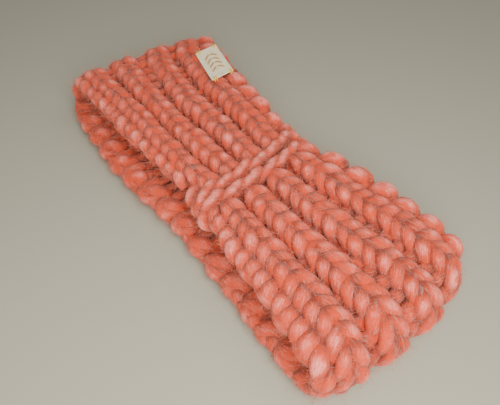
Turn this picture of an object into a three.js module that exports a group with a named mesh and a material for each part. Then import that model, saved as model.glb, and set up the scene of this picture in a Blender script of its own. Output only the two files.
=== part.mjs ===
// Chunky knitted ear warmer headband, lying flat as a folded loop. Millimetres, +Z up.
// X runs along the folded band, from the labelled end to the plain one, and Y across it.
// The origin is on the surface that it rests on, under the middle of its box.
import * as THREE from 'three';

// The knitted strip
const BAND_LENGTH = 252; // fold to fold
const BAND_WIDTH = 111.5; // between its outermost edge beads
const KNIT_THICKNESS = 12.5; // outer rib crest to inner rib crest
const INNER_GAP = 6.5; // between the inner crests of the two layers
const RIB_COUNT = 4; // ribs on the outer face
const RIB_PITCH = 0.42; // between two ribs, as a share of the half width
const OUTER_FURROW = 5.0; // depth of the furrow between two outer ribs
const INNER_FURROW = 4.0; // depth of the furrow between two inner ribs
const SELVEDGE_THICKNESS = 8.6;
const EDGE_BEAD = 2.0; // how far each edge bead stands out past the next dip
const STITCH_PITCH = 7.6; // one stitch row along the band

// The gathered seam
const SEAM_OFFSET = 12; // from the middle of the band, towards the plain fold
const SEAM_WIDTH = 15; // both rows of strands
const SEAM_SLANT = 5.1; // how far the right edge lies back along the band, and the left on
const SEAM_BOW = 4.4; // how far both edges lie back from the middle of the seam
const SEAM_CREST = 6.6; // top of the strands above the middle of the knit
const SEAM_INSIDE = 4.6; // inner face below the middle of the knit
const SEAM_GROOVE = 3.0; // depth of the groove between the two rows
const SEAM_STRANDS = 6; // strands in each row
const SEAM_RELIEF = 2.4; // depth of the dip between two strands
const SEAM_TWIST = 1.0; // strands that a strand crosses from one side of its row to the other
const SEAM_CLEARANCE = 0.3; // between the strip's ends and the seam

// The small label
const LABEL_LENGTH = 32;
const LABEL_WIDTH = 16.4;
const LABEL_THICKNESS = 0.8;
const LABEL_ALONG = -0.302; // its middle, as a share of the band's length from its middle
const LABEL_ACROSS = 0.6; // its middle, as a share of the half width
const LABEL_TURN = 13.2; // degrees off the band's length
const LABEL_SKEW = 5.0; // how far its outer edge is drawn towards the fold
const LABEL_RISE = 0.5; // how far its outer edge lies above its inner one
const LABEL_CLEARANCE = 0.3; // over the outermost rib's crest

// How the band lies: one row for each section, round the loop from the seam and back to it.
// "at" is a share of the loop's length. "left" (-Y) and "right" (+Y) are the edges and
// "crests" the four ribs, as shares of the half width. "lift" is a share of the thickness.
const LIE = [
  { at: 0.0, left: -0.65, crests: [-0.44, -0.18, 0.1, 0.38], right: 0.63, lift: -0.06 },
  { at: 0.039, left: -0.71, crests: [-0.46, -0.18, 0.12, 0.47], right: 0.8, lift: 0.05 },
  { at: 0.079, left: -0.77, crests: [-0.46, -0.17, 0.16, 0.53], right: 0.89, lift: 0.09 },
  { at: 0.129, left: -0.79, crests: [-0.46, -0.14, 0.23, 0.62], right: 0.96, lift: 0.08 },
  { at: 0.179, left: -0.83, crests: [-0.46, -0.11, 0.31, 0.7], right: 1.0, lift: 0.03 },
  { at: 0.226, left: -0.85, crests: [-0.58, -0.15, 0.29, 0.71], right: 0.9, lift: 0.0 },
  { at: 0.273, left: -0.88, crests: [-0.55, -0.17, 0.2, 0.58], right: 0.91, lift: 0.0 },
  { at: 0.353, left: -0.87, crests: [-0.54, -0.16, 0.21, 0.59], right: 0.92, lift: 0.0 },
  { at: 0.473, left: -0.88, crests: [-0.57, -0.22, 0.13, 0.48], right: 0.78, lift: 0.0 },
  { at: 0.533, left: -0.96, crests: [-0.62, -0.25, 0.13, 0.51], right: 0.84, lift: 0.0 },
  { at: 0.592, left: -1.0, crests: [-0.65, -0.25, 0.14, 0.54], right: 0.89, lift: 0.0 },
  { at: 0.686, left: -0.96, crests: [-0.61, -0.21, 0.18, 0.57], right: 0.92, lift: 0.0 },
  { at: 0.726, left: -0.87, crests: [-0.63, -0.2, 0.26, 0.7], right: 0.93, lift: 0.0 },
  { at: 0.77, left: -0.82, crests: [-0.61, -0.27, 0.15, 0.52], right: 0.92, lift: 0.02 },
  { at: 0.81, left: -0.8, crests: [-0.57, -0.29, 0.08, 0.44], right: 0.87, lift: 0.06 },
  { at: 0.86, left: -0.79, crests: [-0.54, -0.29, 0.04, 0.4], right: 0.81, lift: 0.08 },
  { at: 0.94, left: -0.7, crests: [-0.52, -0.25, 0.07, 0.4], right: 0.73, lift: 0.06 },
  { at: 1.0, left: -0.65, crests: [-0.44, -0.18, 0.1, 0.38], right: 0.63, lift: -0.06 },
];

// How far each corner of a fold lies back from the fold's middle
const FOLD_CORNERS = {
  plain: { left: 5.6, right: 9.0 },
  labelled: { left: 2.5, right: 5.9 },
};

// Where the points of one rib's outline stand: "across" in shares of the half pitch from the
// crest, and "height" in shares of the furrow's depth.
const RIB_OUTLINE = [
  { across: -1.0, height: 0.0 },
  { across: -0.88, height: 0.42 },
  { across: -0.62, height: 0.84 },
  { across: -0.26, height: 1.0 },
  { across: 0.26, height: 1.0 },
  { across: 0.62, height: 0.84 },
  { across: 0.88, height: 0.42 },
];

// The path of the knit's middle surface in the XZ plane
const HALF_WIDTH = BAND_WIDTH / 2;
const HALF_KNIT = KNIT_THICKNESS / 2;
const TURN_RADIUS = (KNIT_THICKNESS + INNER_GAP) / 2;
const TURN_X = BAND_LENGTH / 2 - TURN_RADIUS - HALF_KNIT;
const TURN_HEIGHT = HALF_KNIT + TURN_RADIUS;
const TOP_END = TURN_X - SEAM_OFFSET;
const BOTTOM_START = TOP_END + Math.PI * TURN_RADIUS;
const BOTTOM_END = BOTTOM_START + 2 * TURN_X;
const TOP_START = BOTTOM_END + Math.PI * TURN_RADIUS;
const LOOP_LENGTH = TOP_START + TURN_X + SEAM_OFFSET;

/** The middle surface at a distance round the loop: its place and its outward normal. */
function loopPoint(distance) {
  if (distance < TOP_END) {
    return { x: SEAM_OFFSET + distance, z: TURN_HEIGHT + TURN_RADIUS, nx: 0, nz: 1 };
  }
  if (distance < BOTTOM_START) {
    const turned = (distance - TOP_END) / TURN_RADIUS;
    const nx = Math.sin(turned);
    const nz = Math.cos(turned);
    return { x: TURN_X + TURN_RADIUS * nx, z: TURN_HEIGHT + TURN_RADIUS * nz, nx, nz };
  }
  if (distance < BOTTOM_END) {
    return { x: TURN_X - (distance - BOTTOM_START), z: HALF_KNIT, nx: 0, nz: -1 };
  }
  if (distance < TOP_START) {
    const turned = (distance - BOTTOM_END) / TURN_RADIUS;
    const nx = -Math.sin(turned);
    const nz = -Math.cos(turned);
    return { x: -TURN_X + TURN_RADIUS * nx, z: TURN_HEIGHT + TURN_RADIUS * nz, nx, nz };
  }
  return { x: distance - TOP_START - TURN_X, z: TURN_HEIGHT + TURN_RADIUS, nx: 0, nz: 1 };
}

/** A smooth curve without overshoot through one column of LIE, at a share of the loop. */
function lie(column, share) {
  const last = LIE.length - 1;
  let i = 0;
  while (i < last - 1 && LIE[i + 1].at < share) i += 1;
  const slope = (k) => {
    if (k === 0 || k === last) return 0;
    const before = column(LIE[k]) - column(LIE[k - 1]);
    const after = column(LIE[k + 1]) - column(LIE[k]);
    return before * after > 0 ? (before + after) / (LIE[k + 1].at - LIE[k - 1].at) : 0;
  };
  const span = LIE[i + 1].at - LIE[i].at;
  const t = (share - LIE[i].at) / span;
  const rise = column(LIE[i + 1]) - column(LIE[i]);
  const a = slope(i) * span;
  const b = slope(i + 1) * span;
  return column(LIE[i]) + t * (a + t * (3 * rise - 2 * a - b + t * (a + b - 2 * rise)));
}

/** Where a point across the flat strip (-1 to 1) lies across the band, in millimetres. */
function acrossAt(share, across) {
  const flat = [-1, -1.5 * RIB_PITCH, -0.5 * RIB_PITCH, 0.5 * RIB_PITCH, 1.5 * RIB_PITCH, 1];
  const lain = [
    lie((row) => row.left, share),
    ...LIE[0].crests.map((_, rib) => lie((row) => row.crests[rib], share)),
    lie((row) => row.right, share),
  ];
  let i = 0;
  while (i < flat.length - 2 && flat[i + 1] < across) i += 1;
  const t = (across - flat[i]) / (flat[i + 1] - flat[i]);
  return HALF_WIDTH * (lain[i] + t * (lain[i + 1] - lain[i]));
}

/** How strongly the seam's slant acts: 1 at the seam, 0 at the folds and on the bottom. */
function seamPull(distance) {
  if (distance < TOP_END) return 1 - distance / TOP_END;
  if (distance > TOP_START) return (distance - TOP_START) / (LOOP_LENGTH - TOP_START);
  return 0;
}

/** How far a point lies back from the fold that it is near. */
function cornerPull(x, across) {
  const fold = x > 0 ? FOLD_CORNERS.plain : FOLD_CORNERS.labelled;
  const reach = THREE.MathUtils.smoothstep(Math.abs(x), TURN_X / 2, TURN_X);
  return Math.sign(x) * reach * across * across * (across > 0 ? fold.right : fold.left);
}

/** Maps the flat strip to the loop: distance round it, share across it, height off its middle. */
function place(distance, across, height) {
  const wrapped = (distance + LOOP_LENGTH) % LOOP_LENGTH;
  const share = wrapped / LOOP_LENGTH;
  const path = loopPoint(wrapped);
  const slant = (SEAM_SLANT * across + SEAM_BOW * across * across) * seamPull(wrapped);
  return new THREE.Vector3(
    path.x + path.nx * height - slant - cornerPull(path.x, across),
    acrossAt(share, across),
    path.z + path.nz * height + lie((row) => row.lift, share) * KNIT_THICKNESS,
  );
}

/** A rib outline repeated across a face, from its first furrow to its last. */
function ribbedFace(count, crest, furrow) {
  const points = [];
  for (let rib = 0; rib < count; rib += 1) {
    const centre = (rib - (count - 1) / 2) * RIB_PITCH;
    for (const { across, height } of RIB_OUTLINE) {
      points.push([centre + (across * RIB_PITCH) / 2, crest - furrow * (1 - height)]);
    }
  }
  points.push([(count * RIB_PITCH) / 2, crest - furrow]);
  return points;
}

/** The round selvedge on the side where sign is 1 or -1, from the outer face to the inner. */
function selvedge(sign, bead) {
  const radius = SELVEDGE_THICKNESS / 2;
  const reach = HALF_WIDTH - EDGE_BEAD * (1 - bead) - radius;
  const steps = 6;
  return Array.from({ length: steps + 1 }, (_, i) => {
    const turned = (Math.PI * i) / steps - Math.PI / 2;
    const across = (sign * (reach + radius * Math.cos(turned))) / HALF_WIDTH;
    return [across, -radius * Math.sin(turned)];
  });
}

/** The strip's closed outline, with its outer ribs flattened a little by crestShare. */
function stripSection(bead, crestShare) {
  const edge = 1 - SELVEDGE_THICKNESS / HALF_WIDTH;
  const inside = ([across]) => Math.abs(across) < edge;
  const outer = ribbedFace(RIB_COUNT, HALF_KNIT * crestShare, OUTER_FURROW).filter(inside);
  const inner = ribbedFace(RIB_COUNT - 1, HALF_KNIT, INNER_FURROW).filter(inside);
  return [
    ...outer,
    ...selvedge(1, bead),
    ...inner.reverse().map(([across, height]) => [across, -height]),
    ...selvedge(-1, bead).reverse(),
  ];
}

/** Triangles across a section, as a ladder between its upper and its lower side. */
function ladder(section) {
  const count = section.length;
  const places = section.map(([across]) => across);
  const first = places.indexOf(Math.min(...places));
  const final = places.indexOf(Math.max(...places));
  const chain = (step) => {
    const indices = [first];
    while (indices.at(-1) !== final) indices.push((indices.at(-1) + step + count) % count);
    return indices;
  };
  const upper = chain(1);
  const lower = chain(-1);
  const triangles = [];
  let u = 0;
  let l = 0;
  while (u < upper.length - 1 || l < lower.length - 1) {
    const upperNext = u < upper.length - 1 ? places[upper[u + 1]] : Infinity;
    const lowerNext = l < lower.length - 1 ? places[lower[l + 1]] : Infinity;
    if (upperNext <= lowerNext) {
      if (upper[u + 1] !== lower[l]) triangles.push([upper[u], upper[u + 1], lower[l]]);
      u += 1;
    } else {
      if (lower[l + 1] !== upper[u]) triangles.push([upper[u], lower[l + 1], lower[l]]);
      l += 1;
    }
  }
  return triangles.filter(([a, b, c]) => a !== b && b !== c && a !== c);
}

/** A closed body lofted through sections with the same number of points, and capped. */
function loft(sections, outline) {
  const width = sections[0].length;
  const positions = sections.flat().flatMap((point) => [point.x, point.y, point.z]);
  const faces = [];
  for (let i = 0; i + 1 < sections.length; i += 1) {
    for (let j = 0; j < width; j += 1) {
      const a = i * width + j;
      const b = i * width + ((j + 1) % width);
      faces.push(a, a + width, b, b, a + width, b + width);
    }
  }
  const last = (sections.length - 1) * width;
  for (const [a, b, c] of ladder(outline)) {
    faces.push(a, b, c, last + a, last + c, last + b);
  }
  const geometry = new THREE.BufferGeometry();
  geometry.setAttribute('position', new THREE.Float32BufferAttribute(positions, 3));
  geometry.setIndex(faces);
  return geometry;
}

/** A named mesh in a material of its own. */
function piece(name, geometry, colour, roughness) {
  geometry.computeVertexNormals();
  const material = new THREE.MeshStandardMaterial({ color: colour, roughness, metalness: 0 });
  const mesh = new THREE.Mesh(geometry, material);
  mesh.name = name;
  return mesh;
}

/** The knitted strip: from one side of the seam, round both folds, to its other side. */
function knitBand() {
  const start = SEAM_WIDTH / 2 + SEAM_CLEARANCE;
  const rows = 2 * Math.round((LOOP_LENGTH - 2 * start) / (2 * STITCH_PITCH));
  const step = (LOOP_LENGTH - 2 * start) / rows;
  const turning = (s) =>
    (s > TOP_END - step && s < BOTTOM_START) || (s > BOTTOM_END - step && s < TOP_START);
  const sections = [];
  const addSection = (distance, bead) => {
    const fromEnd = Math.min(distance, LOOP_LENGTH - distance) - start;
    const crestShare = 0.86 + 0.14 * Math.min(1, fromEnd / STITCH_PITCH);
    const outline = stripSection(bead, crestShare);
    sections.push(outline.map(([across, height]) => place(distance, across, height)));
  };
  for (let row = 0; row <= rows; row += 1) {
    const distance = start + row * step;
    addSection(distance, row % 2);
    if (row < rows && turning(distance)) addSection(distance + step / 2, 0.5);
  }
  return piece('knit_band', loft(sections, stripSection(0, 0.86)), '#d9735f', 0.95);
}

/** The seam's outline at one share across it: two rows of strands over a flat inner face. */
function seamSection(across) {
  const half = SEAM_WIDTH / 2;
  const steps = 12;
  const endRound = 0.6 + 0.4 * Math.sqrt(Math.max(0, 1 - across ** 6));
  const points = [];
  for (let i = 0; i <= steps; i += 1) {
    const along = i / steps;
    const inRow = Math.abs(Math.sin(2 * Math.PI * along));
    const turned = (across * SEAM_STRANDS) / 2 + 2 * SEAM_TWIST * along;
    const strand = Math.abs(Math.cos(Math.PI * turned));
    const height = SEAM_CREST - SEAM_GROOVE * (1 - inRow) - SEAM_RELIEF * inRow * (1 - strand);
    points.push([half * (2 * along - 1), height * endRound]);
  }
  points.push([half, -SEAM_INSIDE * 0.8 * endRound]);
  points.push([0, -SEAM_INSIDE * endRound]);
  points.push([-half, -SEAM_INSIDE * 0.8 * endRound]);
  return points;
}

/** The seam that draws the strip's ends together: two rows of slanted strands. */
function gatherSeam() {
  const stations = SEAM_STRANDS * 6;
  const sections = [];
  for (let i = 0; i <= stations; i += 1) {
    const across = 1 - (2 * i) / stations;
    sections.push(seamSection(across).map(([along, height]) => place(along, across, height)));
  }
  return piece('gather_seam', loft(sections, seamSection(1)), '#e08070', 0.95);
}

/** The small label, lying over the outermost rib's crest and the edge beads. */
function label() {
  const turn = THREE.MathUtils.degToRad(LABEL_TURN);
  const overTop = TURN_HEIGHT + TURN_RADIUS + HALF_KNIT + LABEL_CLEARANCE;
  const point = (along, over, height) => {
    const x = LABEL_ALONG * BAND_LENGTH + LABEL_LENGTH * along * Math.cos(turn)
      + LABEL_WIDTH * over * Math.sin(turn) - LABEL_SKEW * over * Math.cos(turn);
    const y = LABEL_ACROSS * HALF_WIDTH - LABEL_LENGTH * along * Math.sin(turn)
      + LABEL_WIDTH * over * Math.cos(turn) + LABEL_SKEW * over * Math.sin(turn);
    const lift = lie((row) => row.lift, (TOP_START + TURN_X + x) / LOOP_LENGTH);
    const z = overTop + lift * KNIT_THICKNESS + LABEL_RISE * (over + 0.5) + height;
    return new THREE.Vector3(x, y, z);
  };
  const steps = 6;
  const side = (height) => Array.from({ length: steps + 1 }, (_, i) => [i / steps - 0.5, height]);
  const section = [...side(LABEL_THICKNESS), ...side(0).reverse()];
  const stations = 8;
  const sections = [];
  for (let i = 0; i <= stations; i += 1) {
    sections.push(section.map(([over, height]) => point(i / stations - 0.5, over, height)));
  }
  return piece('label', loft(sections, section), '#e4e2d2', 0.7);
}

const headband = new THREE.Group();
headband.add(knitBand(), gatherSeam(), label());

export default headband;
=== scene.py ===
"""Looks of the knitted ear warmer headband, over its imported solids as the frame.

The band is hand knitted in super bulky wool, so it is built as it is made: one yarn goes to and
fro across the strip, row after row, and the strip lies as a flat loop that a seam gathers.
Lengths are in millimetres until a mesh is made.
"""
import logging
import math
from dataclasses import dataclass, field
from enum import Enum

import bpy
import numpy as np
from mathutils import Matrix, Vector
from mathutils.bvhtree import BVHTree


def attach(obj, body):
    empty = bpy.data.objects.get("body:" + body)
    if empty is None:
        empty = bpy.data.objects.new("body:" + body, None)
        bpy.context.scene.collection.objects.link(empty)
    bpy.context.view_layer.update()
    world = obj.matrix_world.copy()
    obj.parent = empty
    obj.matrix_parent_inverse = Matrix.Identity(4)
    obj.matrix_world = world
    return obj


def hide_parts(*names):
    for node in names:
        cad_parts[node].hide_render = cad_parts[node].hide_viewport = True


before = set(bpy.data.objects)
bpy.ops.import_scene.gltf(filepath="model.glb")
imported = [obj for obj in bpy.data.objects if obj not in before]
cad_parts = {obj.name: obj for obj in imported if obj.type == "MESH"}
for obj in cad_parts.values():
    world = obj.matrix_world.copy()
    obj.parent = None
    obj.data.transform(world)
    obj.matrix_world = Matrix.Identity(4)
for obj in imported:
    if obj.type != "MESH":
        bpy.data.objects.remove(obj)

log = logging.getLogger("headband")

MM = 0.001
SEED = 20
UP = np.array([0.0, 0.0, 1.0])
GOLDEN_ANGLE = 2.399963
FLOOR_GAP_MM = 0.05


class Side(Enum):
    """The two long edges of the strip, by the sign of their place across it."""

    LEFT = -1
    RIGHT = 1


class Face(Enum):
    """The face of the strip on which a column of stitches stands out."""

    OUTER = 1
    INNER = -1


def linear(colour: str) -> tuple[float, float, float, float]:
    """Turns an sRGB hex colour into the linear one that a shader takes.

    Args:
        colour: Six hex digits after a hash sign.

    Returns:
        Red, green and blue as linear light, and an alpha of one.
    """
    shares = [int(colour[i : i + 2], 16) / 255 for i in (1, 3, 5)]
    light = [s / 12.92 if s <= 0.04045 else ((s + 0.055) / 1.055) ** 2.4 for s in shares]
    return (light[0], light[1], light[2], 1.0)


def add_node(tree: bpy.types.NodeTree, kind: str, settings: dict, links: dict) -> bpy.types.Node:
    """Adds one shader node.

    Args:
        tree: The material's node tree.
        kind: The node's type name.
        settings: Values by property name, or by input name or number.
        links: Output sockets by the name or number of the input that they feed.

    Returns:
        The new node.
    """
    node = tree.nodes.new(kind)
    for name, value in settings.items():
        if isinstance(name, str) and hasattr(node, name):
            setattr(node, name, value)
        else:
            node.inputs[name].default_value = value
    for name, socket in links.items():
        tree.links.new(socket, node.inputs[name])
    return node


def start_material(
    name: str,
) -> tuple[bpy.types.Material, bpy.types.NodeTree, bpy.types.Node]:
    """Starts a material.

    Args:
        name: Its name.

    Returns:
        The material, its node tree and its main shader.
    """
    made = bpy.data.materials.new(name)
    made.use_nodes = True
    return made, made.node_tree, made.node_tree.nodes["Principled BSDF"]


def map_share(
    tree: bpy.types.NodeTree, noise: bpy.types.Node, low: float, high: float, most: float
) -> bpy.types.NodeSocket:
    """Turns a noise into a share that grows from one of its values to another.

    Args:
        tree: The material's node tree.
        noise: The noise's node.
        low: The value that gives 0.
        high: The value that gives the greatest share.
        most: The greatest share.

    Returns:
        The share's socket.
    """
    node = add_node(
        tree, "ShaderNodeMapRange",
        {"From Min": low, "From Max": high, "To Min": 0.0, "To Max": most},
        {"Value": noise.outputs["Fac"]},
    )
    return node.outputs["Result"]


def mix_dye(
    tree: bpy.types.NodeTree, under: bpy.types.NodeSocket, share: bpy.types.NodeSocket, dye: str
) -> bpy.types.NodeSocket:
    """Mixes a share of a dye into a colour.

    Args:
        tree: The material's node tree.
        under: The colour's socket.
        share: The share's socket.
        dye: The dye as an sRGB hex colour.

    Returns:
        The mixed colour's socket.
    """
    node = add_node(
        tree, "ShaderNodeMix", {"data_type": "RGBA", 7: linear(dye)}, {0: share, 6: under}
    )
    return node.outputs[2]


def blend_stops(node: bpy.types.Node, stops: list[tuple[float, tuple]]) -> None:
    """Gives a colour ramp its stops.

    Args:
        node: The colour ramp's node.
        stops: Pairs of place and linear colour, in order.
    """
    ramp = node.color_ramp
    while len(ramp.elements) > 1:
        ramp.elements.remove(ramp.elements[-1])
    ramp.elements[0].position, ramp.elements[0].color = stops[0]
    for place, colour in stops[1:]:
        ramp.elements.new(place).color = colour


@dataclass(frozen=True)
class RovingWool:
    """Soft spun super bulky wool, with the dye in the fibre: matt, with a pale bloom where fibres
    stand up.

    The light that reaches into its folds comes back redder and dimmer, so shade is painted into its
    colour there: deeper, redder painted shade where a point is more sheltered.
    """

    name: str = "roving_wool"
    open_dye: str = "#E38175"
    # the three colours after open_dye are painted shade for folds, sunk places and the deepest
    # crevices
    fold_painted_shade: str = "#C0422B"
    sunk_painted_shade: str = "#8E3118"
    inmost_painted_shade: str = "#58180A"
    pale_fibre: str = "#F6AEA4"
    warm_fibre: str = "#C63E1C"
    streak_mm: float = 0.52
    cloud_mm: float = 6.0

    def material(self) -> bpy.types.Material:
        """Builds the wool, with its fibres' streaks running along each yarn.

        Returns:
            The material.
        """
        made, tree, shader = start_material(self.name)
        where = add_node(tree, "ShaderNodeTexCoord", {}, {})
        lay = add_node(tree, "ShaderNodeAttribute", {"attribute_name": "fibre"}, {})
        shelter = add_node(tree, "ShaderNodeAttribute", {"attribute_name": "shelter"}, {})
        # fibres of about 0.03 mm would not show, so their bundles are drawn 0.5 mm wide
        streaks = add_node(
            tree, "ShaderNodeTexNoise",
            {"Scale": 1.0 / self.streak_mm, "Detail": 3.0, "Roughness": 0.6, "Distortion": 0.9},
            {"Vector": lay.outputs["Vector"]},
        )
        clouds = add_node(
            tree, "ShaderNodeTexNoise",
            {"Scale": 1000.0 / self.cloud_mm, "Detail": 2.0, "Roughness": 0.55},
            {"Vector": where.outputs["Object"]},
        )
        # painted shade: the colour goes from open_dye to ever darker, redder painted shade as the
        # shelter value grows, in folds and between yarns
        painted_shade_ramp = add_node(tree, "ShaderNodeValToRGB", {}, {"Fac": shelter.outputs["Fac"]})
        blend_stops(
            painted_shade_ramp,
            [
                (0.1, linear(self.open_dye)), (0.31, linear(self.fold_painted_shade)),
                (0.54, linear(self.sunk_painted_shade)), (0.8, linear(self.inmost_painted_shade)),
            ],
        )
        warm = map_share(tree, streaks, low=0.54, high=0.34, most=0.65)
        pale = map_share(tree, streaks, low=0.48, high=0.74, most=0.38)
        cloudy = map_share(tree, clouds, low=0.48, high=0.64, most=0.75)
        dye_and_painted_shade = mix_dye(tree, painted_shade_ramp.outputs["Color"], warm, self.warm_fibre)
        dye_and_painted_shade = mix_dye(tree, dye_and_painted_shade, pale, self.pale_fibre)
        dye_and_painted_shade = mix_dye(tree, dye_and_painted_shade, cloudy, self.warm_fibre)
        relief = add_node(
            tree, "ShaderNodeBump", {"Strength": 0.55, "Distance": 0.0005},
            {"Height": streaks.outputs["Fac"]},
        )
        tree.links.new(dye_and_painted_shade, shader.inputs["Base Color"])
        tree.links.new(relief.outputs["Normal"], shader.inputs["Normal"])
        # loose fibres scatter the light, so wool shows no gloss and pales at its rims
        shader.inputs["Roughness"].default_value = 0.9
        shader.inputs["Specular IOR Level"].default_value = 0.25
        shader.inputs["Sheen Weight"].default_value = 0.28
        shader.inputs["Sheen Roughness"].default_value = 0.5
        shader.inputs["Sheen Tint"].default_value = linear("#FFC4B6")
        return made


@dataclass(frozen=True)
class StrayFibre:
    """Single wool fibres that stand off the yarn: the same dye, seen against the light."""

    name: str = "stray_wool_fibre"
    dye: str = "#DB8874"
    other_dye: str = "#C4674C"

    def material(self) -> bpy.types.Material:
        """Builds the fibre, a little different from place to place.

        Returns:
            The material.
        """
        made, tree, shader = start_material(self.name)
        where = add_node(tree, "ShaderNodeTexCoord", {}, {})
        spots = add_node(
            tree, "ShaderNodeTexNoise", {"Scale": 260.0, "Detail": 1.0},
            {"Vector": where.outputs["Object"]},
        )
        dye = add_node(tree, "ShaderNodeValToRGB", {}, {"Fac": spots.outputs["Fac"]})
        blend_stops(dye, [(0.4, linear(self.dye)), (0.6, linear(self.other_dye))])
        tree.links.new(dye.outputs["Color"], shader.inputs["Base Color"])
        shader.inputs["Roughness"].default_value = 0.7
        return made


@dataclass(frozen=True)
class WovenTape:
    """Cotton label tape in plain weave: off-white, matt, with its threads just visible."""

    name: str = "woven_cotton_tape"
    warp: str = "#E2DABC"
    weft: str = "#C8BE98"
    thread_mm: float = 0.55

    def material(self) -> bpy.types.Material:
        """Builds the weave from two sets of threads on the tape's own map, in millimetres.

        Returns:
            The material.
        """
        made, tree, shader = start_material(self.name)
        cloth = add_node(tree, "ShaderNodeUVMap", {"uv_map": "tape"}, {})
        # real threads are about 0.25 mm, drawn at 0.55 mm so that the weave shows
        waves = [
            add_node(
                tree, "ShaderNodeTexWave",
                {"bands_direction": way, "Scale": 0.314 / self.thread_mm, "Distortion": 0.6,
                 "Detail": 1.0},
                {"Vector": cloth.outputs["UV"]},
            )
            for way in ("X", "Y")
        ]
        weave = add_node(
            tree, "ShaderNodeMath", {"operation": "MULTIPLY"},
            {0: waves[0].outputs["Fac"], 1: waves[1].outputs["Fac"]},
        )
        stain = add_node(
            tree, "ShaderNodeTexNoise", {"Scale": 0.16, "Detail": 3.0},
            {"Vector": cloth.outputs["UV"]},
        )
        mixed = add_node(
            tree, "ShaderNodeMath", {"operation": "MULTIPLY_ADD", 1: 0.75},
            {0: weave.outputs["Value"], 2: stain.outputs["Fac"]},
        )
        shade = add_node(tree, "ShaderNodeValToRGB", {}, {"Fac": mixed.outputs["Value"]})
        blend_stops(shade, [(0.35, linear(self.weft)), (0.85, linear(self.warp))])
        relief = add_node(
            tree, "ShaderNodeBump", {"Strength": 0.5, "Distance": 0.00012},
            {"Height": weave.outputs["Value"]},
        )
        tree.links.new(shade.outputs["Color"], shader.inputs["Base Color"])
        tree.links.new(relief.outputs["Normal"], shader.inputs["Normal"])
        shader.inputs["Roughness"].default_value = 0.75
        shader.inputs["Sheen Weight"].default_value = 0.15
        return made


@dataclass(frozen=True)
class SewingThread:
    """Spun polyester sewing thread: slightly glossy, with its twist as slanted stripes."""

    name: str
    lit: str
    dark: str

    def material(self) -> bpy.types.Material:
        """Builds the thread, striped by the lay of its fibres.

        Returns:
            The material.
        """
        made, tree, shader = start_material(self.name)
        lay = add_node(tree, "ShaderNodeAttribute", {"attribute_name": "fibre"}, {})
        # the twist of sewing thread is about 0.5 mm a turn, drawn at 1.2 mm
        twist = add_node(
            tree, "ShaderNodeTexNoise", {"Scale": 2.6, "Detail": 1.0},
            {"Vector": lay.outputs["Vector"]},
        )
        dye = add_node(tree, "ShaderNodeValToRGB", {}, {"Fac": twist.outputs["Fac"]})
        blend_stops(dye, [(0.38, linear(self.dark)), (0.62, linear(self.lit))])
        tree.links.new(dye.outputs["Color"], shader.inputs["Base Color"])
        shader.inputs["Roughness"].default_value = 0.45
        shader.inputs["Sheen Weight"].default_value = 0.2
        return made


@dataclass(frozen=True)
class MattBoard:
    """Matt painted board under the object: pale, plain and without gloss."""

    name: str = "matt_painted_board"
    paint: str = "#959384"

    def material(self) -> bpy.types.Material:
        """Builds the paint, with the faint unevenness that a roller leaves.

        Returns:
            The material.
        """
        made, tree, shader = start_material(self.name)
        where = add_node(tree, "ShaderNodeTexCoord", {}, {})
        grain = add_node(
            tree, "ShaderNodeTexNoise", {"Scale": 900.0, "Detail": 2.0},
            {"Vector": where.outputs["Object"]},
        )
        relief = add_node(
            tree, "ShaderNodeBump", {"Strength": 0.08, "Distance": 0.0002},
            {"Height": grain.outputs["Fac"]},
        )
        tree.links.new(relief.outputs["Normal"], shader.inputs["Normal"])
        shader.inputs["Base Color"].default_value = linear(self.paint)
        shader.inputs["Roughness"].default_value = 0.85
        return made


@dataclass(frozen=True)
class LieRow:
    """How the band lies at one section, as shares of its half width, and of its thickness."""

    at: float
    left: float
    crests: tuple[float, float, float, float]
    right: float
    lift: float


LIE = (
    LieRow(0.0, -0.65, (-0.44, -0.18, 0.1, 0.38), 0.63, -0.06),
    LieRow(0.039, -0.71, (-0.46, -0.18, 0.12, 0.47), 0.8, 0.05),
    LieRow(0.079, -0.77, (-0.46, -0.17, 0.16, 0.53), 0.89, 0.09),
    LieRow(0.129, -0.79, (-0.46, -0.14, 0.23, 0.62), 0.96, 0.08),
    LieRow(0.179, -0.83, (-0.46, -0.11, 0.31, 0.7), 1.0, 0.03),
    LieRow(0.226, -0.85, (-0.58, -0.15, 0.29, 0.71), 0.9, 0.0),
    LieRow(0.273, -0.88, (-0.55, -0.17, 0.2, 0.58), 0.91, 0.0),
    LieRow(0.353, -0.87, (-0.54, -0.16, 0.21, 0.59), 0.92, 0.0),
    LieRow(0.473, -0.88, (-0.57, -0.22, 0.13, 0.48), 0.78, 0.0),
    LieRow(0.533, -0.96, (-0.62, -0.25, 0.13, 0.51), 0.84, 0.0),
    LieRow(0.592, -1.0, (-0.65, -0.25, 0.14, 0.54), 0.89, 0.0),
    LieRow(0.686, -0.96, (-0.61, -0.21, 0.18, 0.57), 0.92, 0.0),
    LieRow(0.726, -0.87, (-0.63, -0.2, 0.26, 0.7), 0.93, 0.0),
    LieRow(0.77, -0.82, (-0.61, -0.27, 0.15, 0.52), 0.92, 0.02),
    LieRow(0.81, -0.8, (-0.57, -0.29, 0.08, 0.44), 0.87, 0.06),
    LieRow(0.86, -0.79, (-0.54, -0.29, 0.04, 0.4), 0.81, 0.08),
    LieRow(0.94, -0.7, (-0.52, -0.25, 0.07, 0.4), 0.73, 0.06),
    LieRow(1.0, -0.65, (-0.44, -0.18, 0.1, 0.38), 0.63, -0.06),
)


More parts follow.
